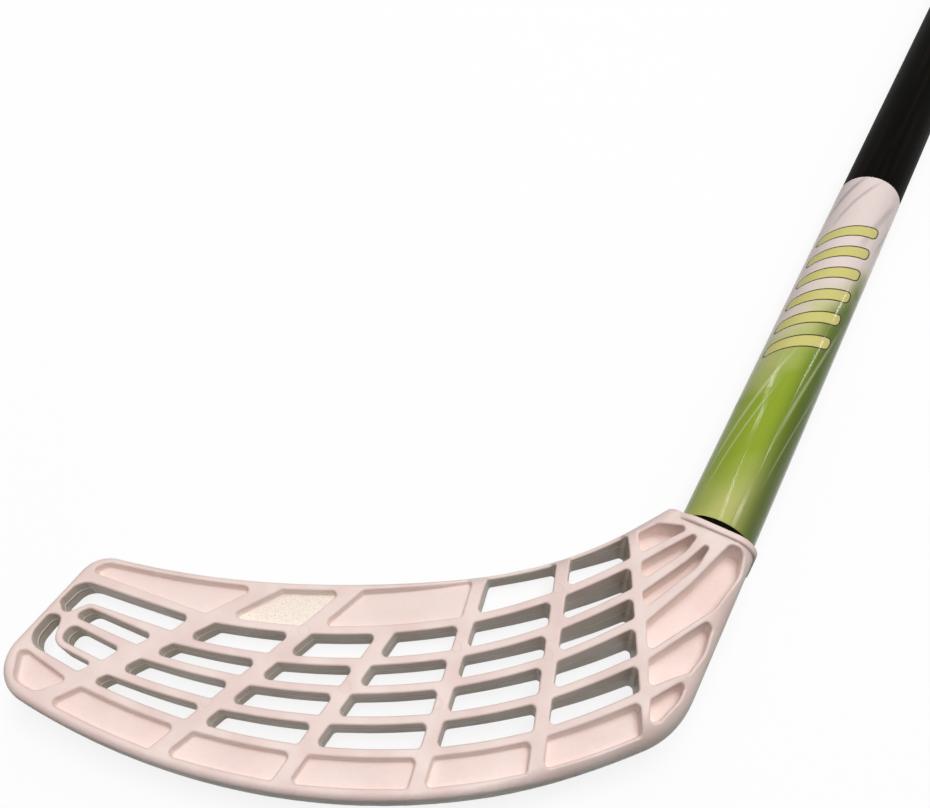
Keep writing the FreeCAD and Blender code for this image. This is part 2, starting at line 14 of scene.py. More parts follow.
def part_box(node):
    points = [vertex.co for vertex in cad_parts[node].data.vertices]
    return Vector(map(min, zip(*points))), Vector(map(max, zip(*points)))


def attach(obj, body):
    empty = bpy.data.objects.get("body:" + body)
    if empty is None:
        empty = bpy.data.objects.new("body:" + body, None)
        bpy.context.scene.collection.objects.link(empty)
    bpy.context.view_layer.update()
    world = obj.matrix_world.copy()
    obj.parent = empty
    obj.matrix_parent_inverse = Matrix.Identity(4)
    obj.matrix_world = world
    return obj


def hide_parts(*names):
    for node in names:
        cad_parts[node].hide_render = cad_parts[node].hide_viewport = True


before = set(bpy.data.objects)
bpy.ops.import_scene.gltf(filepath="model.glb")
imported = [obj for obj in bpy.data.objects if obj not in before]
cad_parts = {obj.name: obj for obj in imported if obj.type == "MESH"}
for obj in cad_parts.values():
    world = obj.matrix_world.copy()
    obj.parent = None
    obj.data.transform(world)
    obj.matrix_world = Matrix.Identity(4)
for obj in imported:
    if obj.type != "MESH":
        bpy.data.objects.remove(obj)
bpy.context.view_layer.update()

bl_info = {
    "name": "Floorball stick",
    "version": (1, 0, 0),
    "blender": (4, 5, 0),
    "location": "View3D > Sidebar > Stick",
    "description": "Dresses the solids of a floorball stick and sets up its studio",
    "category": "Object",
}

MM = 0.001

# Places read from the solids
tube_low, tube_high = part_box("shaft_tube")
film_low, film_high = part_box("decal_wrap")
grip_low, grip_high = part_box("grip_tape")
closing_low, closing_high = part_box("grip_finish_tape")
SHOULDER = Vector(((tube_low.x + tube_high.x) / 2, tube_low.y, (tube_low.z + tube_high.z) / 2))
SHAFT_RADIUS = (tube_high.x - tube_low.x) / 2
GRIP_RADIUS = (grip_high.x - grip_low.x) / 2
TAPE_THICKNESS = 0.45 * MM
PRESSED_RADIUS = (closing_high.x - closing_low.x) / 2 - TAPE_THICKNESS
FILM_ROUND = math.tau * (film_high.x - film_low.x) / 2
FILM_START = film_low.y - SHOULDER.y
FILM_LENGTH = film_high.y - film_low.y

# How the stick lies and how the blade is set on the shaft
ROLL = math.radians(9.35)
BLADE_TURN = math.radians(37.7)
SHAFT_TURN = Matrix.Rotation(-ROLL, 3, "Y")
BLADE_AXES = SHAFT_TURN @ Matrix.Rotation(BLADE_TURN, 3, "Z")

# Hook of the blade's middle surface, and the swell of its thickness
HOOK_START = 40 * MM
HOOK_RADIUS = 690.8 * MM
SWELL_START = 91.5 * MM
SWELL_END = -14 * MM
TOE_HALF = 4.5 * MM
NECK_HALF = 13.25 * MM

# Curves between the fields of the blade, in millimetres in its own frame: centre and radius of each arc, and
# a point on each line with the direction to the side of the panels
FIRST_RIB = ((-96.6, 220.3), 236.1)
LAST_RIB = ((-88.6, 155.3), 209.8)
TOP_RIM = ((-93.3, 302.8), 304.0)
SOLE_RIM = ((-89.1, 150.2), 215.5)
HEEL_RIB = ((-27.6, 0.0), (0.985, -0.175))
TOP_PANELS_END = ((-77.5, 0.0), (-0.912, 0.411))
HEEL_RIM = ((9.1, -7.0), (-0.791, 0.611))
HEEL_CORNER = ((-30.4, -54.3), (-0.543, 0.840))

# Round marks that the mould's pins leave on the crossings of the ribs, in the blade's own frame
PIN_PLACES = ((-54.8, -10.3), (-62.0, -30.9), (-89.3, -23.9), (-97.4, -40.5),
              (-123.9, -32.3), (-135.5, -12.9), (-164.0, -32.2))
PIN_RADIUS = 1.7 * MM
PIN_EDGE = 0.3 * MM

# Panel with a speckled floor: lines along its slanted ends, and its limits towards the toe and the sole
SPECKLED_ENDS = (((-157.7, -5.7), (0.335, -0.942)), ((-131.9, -12.5), (-0.787, 0.618)))
SPECKLED_REACH = -160.0
SPECKLED_FOOT = -14.0

# Scales of the noises in the finishes, half width of the parting line, and pitch of the cap's turned rings
FROST_SCALE = 900.0
SPECKLE_SCALE = 1900.0
CLOUD_SCALE = 60.0
WEAR_SCALE = 55.0
FIBRE_SCALE = 400.0
FIBRE_STRETCH = (1.0, 0.04, 1.0)
WRINKLE_SCALE = 300.0
WRINKLE_STRETCH = (1.0, 0.3, 1.0)
PARTING_REACH = 0.8 * MM
RING_PITCH = 1.2 * MM

# Smallest angle between faces that stays a sharp edge, on the solids and on the wound grip
SOLID_ANGLE = math.radians(35)
WRAP_ANGLE = math.radians(50)

# Soft strokes on the film, pale and then grey: turn and share of the length at both ends, half width, weight
PALE_STROKES = ((-0.17, 0.05, 0.01, 0.47, 0.9, 0.55), (-0.13, 0.02, -0.01, 0.36, 0.5, 0.50),
                (0.06, 0.16, 0.17, 0.58, 1.0, 0.40), (0.10, 0.08, 0.21, 0.44, 0.6, 0.30),
                (-0.28, 0.12, -0.14, 0.60, 1.6, 0.45), (0.34, 0.06, 0.44, 0.52, 1.4, 0.45),
                (-0.44, 0.10, -0.34, 0.56, 1.2, 0.45))
GREY_STROKES = ((-0.20, 0.83, -0.03, 1.02, 2.2, 0.62), (-0.12, 0.80, 0.05, 1.01, 1.4, 0.46),
                (-0.26, 0.88, -0.12, 1.03, 1.2, 0.64), (0.06, 0.74, 0.18, 0.99, 2.4, 0.40),
                (0.16, 0.76, 0.27, 1.00, 1.4, 0.46), (0.36, 0.78, 0.46, 1.00, 2.2, 0.45),
                (-0.44, 0.76, -0.34, 1.00, 1.9, 0.45))

# Row of plain slanted bars on the film
BAR_TURN = -0.02
BAR_PITCH = 13.0 * MM
BAR_HALF_LENGTH = 12.0 * MM
BAR_HALF_WIDTH = 3.4 * MM
BAR_ROUND = 2.6 * MM
BAR_EDGE = 0.65 * MM
BAR_SLOPE = -0.55
BAR_FIRST = 6
BAR_LAST = 12

# Lamps: ends of the long side, width and power in watts. Then the world's light on the stick, and how bright the
# world and the unlit floor are to the rays that show them
LAMP_AIM = Vector((-0.01, -0.40, 0.0))
LAMPS = (("softbox", (-0.06, -0.64, 1.5), (-0.06, 0.26, 1.5), 0.9, 16.4),
         ("left_strip", (-0.34, 0.43, 1.3), (-1.28, 1.22, 1.3), 0.030, 3.4),
         ("right_strip", (0.70, 0.50, 1.3), (1.51, 1.46, 1.3), 0.030, 3.2))
WORLD_LIGHT = 0.13
WORLD_SEEN = 0.88
FLOOR_LIFT = 0.86


# Properties


def colour(name, text, value):
    """Colour property in linear light."""
    return FloatVectorProperty(name=name, description=text, subtype="COLOR", size=4, min=0, max=1,
                               default=(*value, 1))


class StickColours(bpy.types.PropertyGroup):
    """Colours that a user would change."""
    blade: colour("Blade", "Moulded plastic of the blade", (0.925, 0.752, 0.696))
    blade_tint: colour("Blade tint", "Second tint in the blade's plastic", (0.86, 0.660, 0.610))
    # Painted shade: the walls of the openings and the rim are painted darker than the plastic.
    wall: colour("Walls", "Walls of the blade's openings and rim", (0.70, 0.64, 0.545))
    # Painted highlight: the parting line is painted pale, as if its ridge caught the light; the ridge itself is a
    # bump.
    parting: colour("Parting line", "Line that the mould's halves leave on the walls", (0.99, 0.96, 0.92))
    # Painted light: the walls of the panels are painted paler than the plastic, as if lit.
    painted_light_panel_wall: colour("Panel walls", "Walls of the blade's panels", (0.97, 0.89, 0.84))
    panel: colour("Panel", "Frosted floors of the blade's panels", (0.87, 0.725, 0.676))
    speckle: colour("Speckle", "Cream floor of the speckled panel", (0.93, 0.87, 0.74))
    film_pale: colour("Film start", "Pale green at the film's lower end", (0.53, 0.55, 0.17))
    film_green: colour("Film green", "Full green of the film", (0.30, 0.41, 0.025))
    # Partly print and partly painted shade: this deep green darkens the film's right side.
    film_deep_and_painted_shade: colour("Film deep green", "Deep green down the film's side", (0.070, 0.120, 0.004))
    film_light: colour("Film light", "Light yellow-green of the film", (0.62, 0.62, 0.27))
    film_white: colour("Film white", "Pale upper end of the film", (0.88, 0.74, 0.70))
    film_grey: colour("Film grey", "Soft grey strokes of the film's upper end", (0.30, 0.255, 0.25))
    film_stroke: colour("Film strokes", "Pale strokes on the film's green", (0.76, 0.76, 0.50))
    film_bar: colour("Film bars", "Plain slanted bars on the film", (0.71, 0.65, 0.215))
    film_line: colour("Film lines", "Fine dark edges of the bars", (0.06, 0.045, 0.02))
    shaft: colour("Shaft", "Black lacquer of the shaft", (0.0030, 0.0028, 0.0022))
    fibre: colour("Fibres", "Fibres that show through the lacquer", (0.008, 0.0055, 0.004))
    grip: colour("Grip", "Wound grip", (0.018, 0.018, 0.019))
    grip_hole: colour("Grip holes", "Perforations of the grip", (0.002, 0.002, 0.002))
    grip_worn: colour("Grip worn", "Worn patches of the grip", (0.035, 0.034, 0.033))
    tape: colour("Tape", "Closing tape of the grip", (0.030, 0.030, 0.032))
    tape_dark: colour("Tape dark", "Darker patches of the closing tape", (0.022, 0.022, 0.024))
    cap: colour("Cap", "Butt cap", (0.016, 0.016, 0.017))
    cap_worn: colour("Cap worn", "Worn patches of the butt cap", (0.026, 0.026, 0.027))
    steel: colour("Screws", "Plated steel of the screws", (0.55, 0.55, 0.56))
    steel_dull: colour("Screws dull", "Dull patches of the plating", (0.40, 0.39, 0.37))
    floor: colour("Floor", "Studio floor as the stick's own light sees it", (0.045, 0.045, 0.045))
    floor_seen: colour("Floor seen", "Part of the seen floor that takes the stick's shadow", (0.15, 0.15, 0.15))


class StickSizes(bpy.types.PropertyGroup):
    """Sizes that a user would change."""
    wrap_pitch: FloatProperty(name="Wrap pitch", description="Rise of the grip's wrap in one turn",
                              default=22 * MM, unit="LENGTH")
    wrap_overlap: FloatProperty(name="Wrap overlap", description="Width of wrap that lies on the turn before",
                                default=5 * MM, unit="LENGTH")
    wrap_steps: IntProperty(name="Wrap steps", description="Steps in one turn of the wrap", default=48, min=12)
    dot_rows: IntProperty(name="Dot rows", description="Rows of perforations across the wrap", default=7, min=1)
    dots_round: IntProperty(name="Dots round", description="Perforations in one turn", default=29, min=1)
    floor_radius: FloatProperty(name="Floor", description="Radius of the studio floor", default=7.0, unit="LENGTH")
    wall_height: FloatProperty(name="Wall", description="Height of the studio's round wall", default=0.5,
                               unit="LENGTH")
    camera_place: FloatVectorProperty(name="Camera place", description="Camera, from the shoulder of the blade",
                                      default=(-34.85 * MM, -150.05 * MM, 270.95 * MM), subtype="TRANSLATION",
                                      precision=5)
    camera_turn: FloatVectorProperty(name="Camera turn", description="How the camera is turned",
                                     default=tuple(math.radians(a) for a in (31.010, -4.695, 29.978)),
                                     subtype="EULER", precision=5)
    lens: FloatProperty(name="Lens", description="Focal length in millimetres on a 36 mm sensor", default=34.293)


# Node building


class Bench:
    """Places and links the nodes of one material or node group."""

    def __init__(self, tree):
        self.tree = tree
        self.count = 0

    def add(self, kind, sockets=None, **settings):
        """New node with its settings, and each socket given a value or a link."""
        node = self.tree.nodes.new(kind)
        node.location = (220 * (self.count % 10), -260 * (self.count // 10))
        self.count += 1
        for name, value in settings.items():
            setattr(node, name, value)
        for key, value in (sockets or {}).items():
            self.feed(node.inputs[key], value)
        return node

    def feed(self, socket, value):
        """Link a socket to an output, or set its value."""
        if isinstance(value, bpy.types.NodeSocket):
            self.tree.links.new(value, socket)
        else:
            socket.default_value = value

    def math(self, operation, *values, clamp=False):
        """Output of a Math node."""
        return self.add("ShaderNodeMath", dict(enumerate(values)), operation=operation, use_clamp=clamp).outputs[0]

    def fade(self, value, low, high):
        """Smooth step from 0 at low to 1 at high."""
        node = self.add("ShaderNodeMapRange", {"Value": value, "From Min": low, "From Max": high},
                        interpolation_type="SMOOTHSTEP")
        return node.outputs[0]

    def away(self, value, reach):
        """Soft mask of 1 at 0 that has faded at a distance."""
        return self.math("SUBTRACT", 1.0, self.fade(self.math("ABSOLUTE", value), 0.0, reach))

    def mix(self, share, first, second):
        """Colour mixed between two."""
        node = self.add("ShaderNodeMix", {0: share, 6: first, 7: second}, data_type="RGBA")
        return node.outputs[2]

    def noise(self, vector, scale, detail=2.0, stretch=None):
        """Noise value, on coordinates stretched by three factors where they are given."""
        if stretch:
            vector = self.add("ShaderNodeVectorMath", {0: vector, 1: stretch}, operation="MULTIPLY").outputs[0]
        return self.add("ShaderNodeTexNoise", {"Vector": vector, "Scale": scale, "Detail": detail}).outputs[0]

    def ramp(self, value, stops):
        """Colour ramp through (place, colour) stops."""
        node = self.add("ShaderNodeValToRGB", {"Fac": value})
        elements = node.color_ramp.elements
        while len(elements) < len(stops):
            elements.new(1)
        for element, (place, tint) in zip(elements, stops):
            element.position = place
            element.color = tint
        return node.outputs[0]

    def bump(self, height, distance, strength=1.0, normal=None):
        """Normal from a height."""
        sockets = {"Height": height, "Distance": distance, "Strength": strength}
        if normal:
            sockets["Normal"] = normal
        return self.add("ShaderNodeBump", sockets).outputs[0]

    def group(self, tree, **sockets):
        """Node group placed with its inputs."""
        node = self.add("ShaderNodeGroup", node_tree=tree)
        for name, value in sockets.items():
            self.feed(node.inputs[name.replace("_", " ").capitalize()], value)
        return node.outputs

    def place(self):
        """Object coordinates."""
        return self.add("ShaderNodeTexCoord").outputs["Object"]


def new_material(name):
    """Empty material with its bench."""
    material = bpy.data.materials.new(name)
    material.use_nodes = True
    material.node_tree.nodes.clear()
    return material, Bench(material.node_tree)


def finish_material(bench, **sockets):
    """Principled shader and output for a material; socket names are given with underscores."""
    shader = bench.add("ShaderNodeBsdfPrincipled")
    for name, value in sockets.items():
        bench.feed(shader.inputs[name.replace("_", " ")], value)
    bench.add("ShaderNodeOutputMaterial", {"Surface": shader.outputs[0]})


def new_group(name, inputs, outputs):
    """Node group with named float or vector inputs and float outputs, and its bench."""
    tree = bpy.data.node_groups.new(name, "ShaderNodeTree")
    for label, kind in inputs:
        tree.interface.new_socket(label, in_out="INPUT", socket_type=kind)
    for label in outputs:
        tree.interface.new_socket(label, in_out="OUTPUT", socket_type="NodeSocketFloat")
    return tree, Bench(tree)


def close_group(bench, **outputs):
    """Group output with its links."""
    node = bench.add("NodeGroupOutput")
    for name, value in outputs.items():
        bench.feed(node.inputs[name.replace("_", " ").capitalize()], value)


def shared_group(name, build):
    """Node group by name, built the first time it is asked for."""
    return bpy.data.node_groups.get(name) or build(name)


def build_shaft_places(name):
    """Places round the shaft: metres along it from the shoulder, and turns about it from its front."""
    tree, bench = new_group(name, [("Place", "NodeSocketVector")], ["Along", "Turn"])
    place = bench.add("NodeGroupInput").outputs[0]
    local = bench.add("ShaderNodeMapping", {"Vector": place, "Location": SHOULDER,
                                            "Rotation": SHAFT_TURN.to_euler()}, vector_type="TEXTURE")
    axes = bench.add("ShaderNodeSeparateXYZ", {0: local.outputs[0]}).outputs
    turn = bench.math("DIVIDE", bench.math("ARCTAN2", axes[0], axes[2]), math.tau)
    close_group(bench, along=axes[1], turn=turn)
    return tree


def build_blade_places(name):
    """Places on the blade: its own X and Y, height off the middle surface, also as a share of half the depth."""
    tree, bench = new_group(name, [("Place", "NodeSocketVector")], ["X", "Y", "Off middle", "Depth share"])
    place = bench.add("NodeGroupInput").outputs[0]
    local = bench.add("ShaderNodeMapping", {"Vector": place, "Location": SHOULDER,
                                            "Rotation": BLADE_AXES.to_euler()}, vector_type="TEXTURE")
    axes = bench.add("ShaderNodeSeparateXYZ", {0: local.outputs[0]}).outputs
    past = bench.math("MAXIMUM", bench.math("SUBTRACT", bench.math("MULTIPLY", axes[0], -1.0), HOOK_START), 0.0)
    square = bench.math("SUBTRACT", HOOK_RADIUS ** 2, bench.math("MULTIPLY", past, past))
    rise = bench.math("SUBTRACT", HOOK_RADIUS, bench.math("SQRT", square))
    off = bench.math("SUBTRACT", axes[2], rise)
    swell = bench.fade(axes[0], -SWELL_START, -SWELL_END)
    half = bench.math("MULTIPLY_ADD", swell, NECK_HALF - TOE_HALF, TOE_HALF)
    share = bench.math("DIVIDE", bench.math("ABSOLUTE", off), half)
    close_group(bench, x=axes[0], y=axes[1], off_middle=off, depth_share=share)
    return tree


def build_grain(name):
    """Moulded or lacquered surface: fine grain as a height, and slow mottling as a mask."""
    tree, bench = new_group(name, [("Place", "NodeSocketVector"), ("Grain size", "NodeSocketFloat"),
                                   ("Mottle size", "NodeSocketFloat")], ["Grain", "Mottle"])
    inputs = bench.add("NodeGroupInput").outputs
    fine = bench.noise(inputs[0], bench.math("DIVIDE", 1.0, inputs[1]), 3.0)
    slow = bench.noise(inputs[0], bench.math("DIVIDE", 1.0, inputs[2]), 4.0)
    close_group(bench, grain=fine, mottle=bench.fade(slow, 0.3, 0.7))
    return tree


def shaft_places(bench):
    """Outputs along and turn for a material."""
    return bench.group(shared_group("shaft_places", build_shaft_places), place=bench.place())


def grain(bench, grain_size, mottle_size):
    """Outputs grain and mottle for a material."""
    tree = shared_group("surface_grain", build_grain)
    return bench.group(tree, place=bench.place(), grain_size=grain_size, mottle_size=mottle_size)


# Materials


def distance(bench, places, centre):
    """Distance from a point of the blade's own frame that is given in millimetres."""
    across = bench.math("SUBTRACT", places["X"], centre[0] * MM)
    down = bench.math("SUBTRACT", places["Y"], centre[1] * MM)
    return bench.math("SQRT", bench.math("MULTIPLY_ADD", across, across, bench.math("MULTIPLY", down, down)))


def inside_line(bench, places, line):
    """Mask of the side of a line that its direction points to."""
    (x, y), (inward_x, inward_y) = line
    past = bench.math("MULTIPLY_ADD", places["X"], inward_x, -(x * inward_x + y * inward_y) * MM)
    return bench.math("GREATER_THAN", bench.math("MULTIPLY_ADD", places["Y"], inward_y, past), 0.0)


def inside_arc(bench, places, arc):
    """Mask of the side of an arc that its centre is on."""
    centre, radius = arc
    return bench.math("LESS_THAN", distance(bench, places, centre), radius * MM)


def pin_rings(bench, places):
    """Mask of the round marks that the mould's pins leave."""
    rings = 0.0
    for centre in PIN_PLACES:
        ring = bench.math("SUBTRACT", distance(bench, places, centre), PIN_RADIUS)
        rings = bench.math("MAXIMUM", rings, bench.away(ring, PIN_EDGE))
    return rings


def speckled_panel(bench, places):
    """Mask of the panel whose floor is speckled."""
    mask = bench.math("GREATER_THAN", places["X"], SPECKLED_REACH * MM)
    mask = bench.math("MULTIPLY", mask, bench.math("GREATER_THAN", places["Y"], SPECKLED_FOOT * MM))
    for line in SPECKLED_ENDS:
        mask = bench.math("MULTIPLY", mask, inside_line(bench, places, line))
    return mask


def panel_fields(bench, places):
    """Mask of the fields that hold panels: the heel fan, the row above the sole and the row below the top edge."""
    top_row = bench.math("SUBTRACT", inside_arc(bench, places, FIRST_RIB), inside_arc(bench, places, TOP_RIM))
    top_row = bench.math("MULTIPLY", top_row, inside_line(bench, places, TOP_PANELS_END))
    sole_row = bench.math("SUBTRACT", 1.0, inside_arc(bench, places, LAST_RIB))
    mask = bench.math("MAXIMUM", bench.math("MAXIMUM", top_row, sole_row), inside_line(bench, places, HEEL_RIB))
    mask = bench.math("MULTIPLY", mask, inside_arc(bench, places, SOLE_RIM))
    for line in (HEEL_RIM, HEEL_CORNER):
        mask = bench.math("MULTIPLY", mask, inside_line(bench, places, line))
    return mask


def blade_material(colours):
    """Moulded plastic with frosted panel floors, the marks of the mould's pins and a parting line on the walls;
    painted shade darkens the walls of the openings and rim, painted light makes the walls of the panels paler, and
    a painted highlight lies on the parting line.
    """
    material, bench = new_material("blade_plastic")
    places = bench.group(shared_group("blade_places", build_blade_places), place=bench.place())
    fine, mottle = grain(bench, 0.5 * MM, 14 * MM)
    normal = bench.add("ShaderNodeTexCoord").outputs["Normal"]
    facing = bench.add("ShaderNodeVectorMath", {0: normal, 1: BLADE_AXES.col[2]}, operation="DOT_PRODUCT")
    flat = bench.fade(bench.math("ABSOLUTE", facing.outputs["Value"]), 0.6, 0.95)
    deep = bench.math("SUBTRACT", 1.0, bench.fade(places["Depth share"], 0.5, 0.7))
    floor = bench.math("MULTIPLY", flat, deep)
    frost = bench.noise(bench.place(), FROST_SCALE, 4.0)
    tint = bench.mix(mottle, colours.blade, colours.blade_tint)
    grains = bench.math("MULTIPLY", bench.fade(frost, 0.42, 0.66), 0.5)
    frosted = bench.mix(grains, colours.panel, colours.blade_tint)
    tint = bench.mix(bench.math("MULTIPLY", floor, 0.7), tint, frosted)
    dots = bench.fade(bench.noise(bench.place(), SPECKLE_SCALE, 3.0), 0.52, 0.62)
    speckled = bench.mix(dots, colours.speckle, colours.blade_tint)
    cream = bench.math("MULTIPLY", floor, speckled_panel(bench, places))
    tint = bench.mix(bench.math("MULTIPLY", cream, 0.85), tint, speckled)
    upright = bench.fade(bench.math("ABSOLUTE", facing.outputs["Value"]), 0.6, 0.2)
    parting = bench.math("MULTIPLY", bench.away(places["Off middle"], PARTING_REACH), upright)
    # Painted shade and painted light on the upright walls: the openings and rim darker, the panel walls paler,
    # both less towards the front faces.
    walls = bench.mix(panel_fields(bench, places), colours.wall, colours.painted_light_panel_wall)
    front = bench.math("MULTIPLY", bench.fade(places["Depth share"], 0.35, 1.0),
                       bench.math("GREATER_THAN", places["Off middle"], 0.0))
    shaded = bench.math("MULTIPLY", upright, bench.math("MULTIPLY_ADD", front, -0.55, 0.85))
    tint = bench.mix(shaded, tint, walls)
    # Painted highlight: the parting line is painted pale on the walls; its ridge is a bump.
    tint = bench.mix(parting, tint, colours.parting)
    rings = bench.math("MULTIPLY", pin_rings(bench, places), flat)
    tint = bench.mix(bench.math("MULTIPLY", rings, 0.35), tint, colours.blade_tint)
    height = bench.math("MULTIPLY_ADD", fine, 0.10, bench.math("MULTIPLY", parting, 4.0))
    height = bench.math("MULTIPLY_ADD", rings, -0.5, height)
    height = bench.math("MULTIPLY_ADD", bench.math("MULTIPLY", frost, floor), 0.07, height)
    finish_material(bench, Base_Color=tint, Roughness=bench.math("MULTIPLY_ADD", mottle, 0.10, 0.42),
                    Normal=bench.bump(height, 0.2 * MM, 0.6), IOR=1.5)
    return material


def film_strokes(bench, share, turn, strokes):
    """Mask of soft strokes that run up the film."""
    mask = 0.0
    for start_turn, start, end_turn, end, reach, weight in strokes:
        rise = bench.add("ShaderNodeMapRange", {"Value": share, "From Min": start, "From Max": end}).outputs[0]
        middle = bench.math("MULTIPLY_ADD", bench.math("POWER", rise, 1.5), end_turn - start_turn, start_turn)
        off = bench.math("SUBTRACT", turn, middle)
        ends = bench.math("MULTIPLY", bench.fade(rise, 0.0, 0.35), bench.fade(rise, 1.0, 0.7))
        stroke = bench.math("MULTIPLY", bench.away(off, reach * MM / FILM_ROUND), ends)
        mask = bench.math("MAXIMUM", mask, bench.math("MULTIPLY", stroke, weight))
    return mask


def film_bars(bench, length, turn):
    """Distance from the edge of the nearest slanted bar, negative inside, and a mask of the bars' row."""
    around = bench.math("MULTIPLY", bench.math("SUBTRACT", turn, BAR_TURN), FILM_ROUND)
    count = bench.math("DIVIDE", bench.math("MULTIPLY_ADD", around, BAR_SLOPE, length), BAR_PITCH)
    along = bench.math("MULTIPLY", bench.math("SUBTRACT", bench.math("FRACT", count), 0.5), BAR_PITCH)
    squares = 0.0
    for value, half in ((around, BAR_HALF_LENGTH), (along, BAR_HALF_WIDTH)):
        past = bench.math("SUBTRACT", bench.math("ABSOLUTE", value), half - BAR_ROUND)
        past = bench.math("MAXIMUM", past, 0.0)
        squares = bench.math("MULTIPLY_ADD", past, past, squares)
    row = bench.math("MULTIPLY", bench.math("GREATER_THAN", count, BAR_FIRST),
                     bench.math("LESS_THAN", count, BAR_LAST))
    return bench.math("SUBTRACT", bench.math("SQRT", squares), BAR_ROUND), row


def film_material(colours):
    """Glossy printed film: green to white up the shaft, with soft strokes, a row of plain slanted bars, and its
    right side darkened to deep green, partly print and partly painted shade.
    """
    material, bench = new_material("film_print")
    along, turn = shaft_places(bench)
    length = bench.math("SUBTRACT", along, FILM_START)
    share = bench.math("DIVIDE", length, FILM_LENGTH)
    side = bench.math("SINE", bench.math("MULTIPLY", turn, math.tau))
    cloud = bench.noise(bench.place(), CLOUD_SCALE, 1.0)
    shade = bench.math("MULTIPLY_ADD", side, -0.12, bench.math("MULTIPLY_ADD", cloud, 0.16, share))
    tint = bench.ramp(shade, [(0.10, colours.film_pale), (0.27, colours.film_green), (0.46, colours.film_green),
                              (0.60, colours.film_light), (0.72, colours.film_white), (1.0, colours.film_white)])
    # Partly print and partly painted shade: the right side of the film is darkened to the deep green.
    deep = bench.math("MULTIPLY", bench.fade(side, 0.0, 0.8), bench.fade(shade, 0.70, 0.56))
    tint = bench.mix(bench.math("MULTIPLY", deep, 0.9), tint, colours.film_deep_and_painted_shade)
    tint = bench.mix(film_strokes(bench, share, turn, PALE_STROKES), tint, colours.film_stroke)
    tint = bench.mix(film_strokes(bench, share, turn, GREY_STROKES), tint, colours.film_grey)
    edge, row = film_bars(bench, length, turn)
    for inset, layer in ((0.0, colours.film_line), (BAR_EDGE, colours.film_bar)):
        inside = bench.fade(edge, 0.06 * MM - inset, -0.06 * MM - inset)
        tint = bench.mix(bench.math("MULTIPLY", inside, row), tint, layer)
    fine, mottle = grain(bench, 2.5 * MM, 20 * MM)
    worn = bench.fade(bench.noise(bench.place(), WEAR_SCALE, 3.0), 0.26, 0.46)
    finish_material(bench, Base_Color=tint, Roughness=bench.math("MULTIPLY_ADD", mottle, 0.1, 0.45),
                    Normal=bench.bump(fine, 0.0015 * MM, 0.3), Coat_Roughness=0.09, Coat_IOR=1.25,
                    Coat_Weight=bench.math("MULTIPLY_ADD", worn, 0.55, 0.35), Specular_IOR_Level=0.03, IOR=1.5)
    return material


def shaft_material(colours):
    """Black satin lacquer over fibres that run along the tube."""
    material, bench = new_material("shaft_lacquer")
    fibres = bench.noise(bench.place(), FIBRE_SCALE, 3.0, stretch=FIBRE_STRETCH)
    fine, mottle = grain(bench, 0.8 * MM, 30 * MM)
    tint = bench.mix(bench.fade(fibres, 0.45, 0.7), colours.shaft, colours.fibre)
    rough = bench.math("MULTIPLY_ADD", fibres, 0.12, bench.math("MULTIPLY_ADD", mottle, 0.05, 0.36))
    finish_material(bench, Base_Color=tint, Roughness=rough, Normal=bench.bump(fine, 0.02 * MM, 0.3),
                    Specular_IOR_Level=0.01, IOR=1.5)
    return material


def grip_material(colours, sizes):
    """Soft wound grip with rows of perforations that follow the wrap."""
    material, bench = new_material("grip_wrap")
    along, turn = shaft_places(bench)
    wound = bench.math("SUBTRACT", bench.math("DIVIDE", along, sizes.wrap_pitch), turn)
    cells = []
    for value, count in ((wound, sizes.dot_rows), (turn, sizes.dots_round)):
        cell = bench.math("FRACT", bench.math("MULTIPLY", value, count))
        cells.append(bench.math("SUBTRACT", cell, 0.5))
    away = bench.math("SQRT", bench.math("ADD", *[bench.math("MULTIPLY", cell, cell) for cell in cells]))
    dot = bench.math("SUBTRACT", 1.0, bench.fade(away, 0.14, 0.24))
    fine, mottle = grain(bench, 0.6 * MM, 18 * MM)
    tint = bench.mix(bench.math("MULTIPLY", dot, 0.8), colours.grip, colours.grip_hole)
    tint = bench.mix(bench.math("MULTIPLY", mottle, 0.25), tint, colours.grip_worn)
    height = bench.math("MULTIPLY_ADD", dot, -1.0, bench.math("MULTIPLY", fine, 0.25))
    finish_material(bench, Base_Color=tint, Roughness=bench.math("MULTIPLY_ADD", fine, 0.2, 0.62),
                    Normal=bench.bump(height, 0.4 * MM, 0.8), IOR=1.45)
    return material


def tape_material(colours):
    """Closing tape of stretched vinyl with fine wrinkles along the shaft."""
    material, bench = new_material("finish_tape")
    wrinkles = bench.noise(bench.place(), WRINKLE_SCALE, 3.0, stretch=WRINKLE_STRETCH)
    fine, mottle = grain(bench, 0.4 * MM, 9 * MM)
    tint = bench.mix(mottle, colours.tape, colours.tape_dark)
    height = bench.math("MULTIPLY_ADD", wrinkles, 0.8, bench.math("MULTIPLY", fine, 0.2))
    finish_material(bench, Base_Color=tint, Roughness=bench.math("MULTIPLY_ADD", wrinkles, 0.2, 0.3),
                    Normal=bench.bump(height, 0.15 * MM, 0.5), IOR=1.5)
    return material


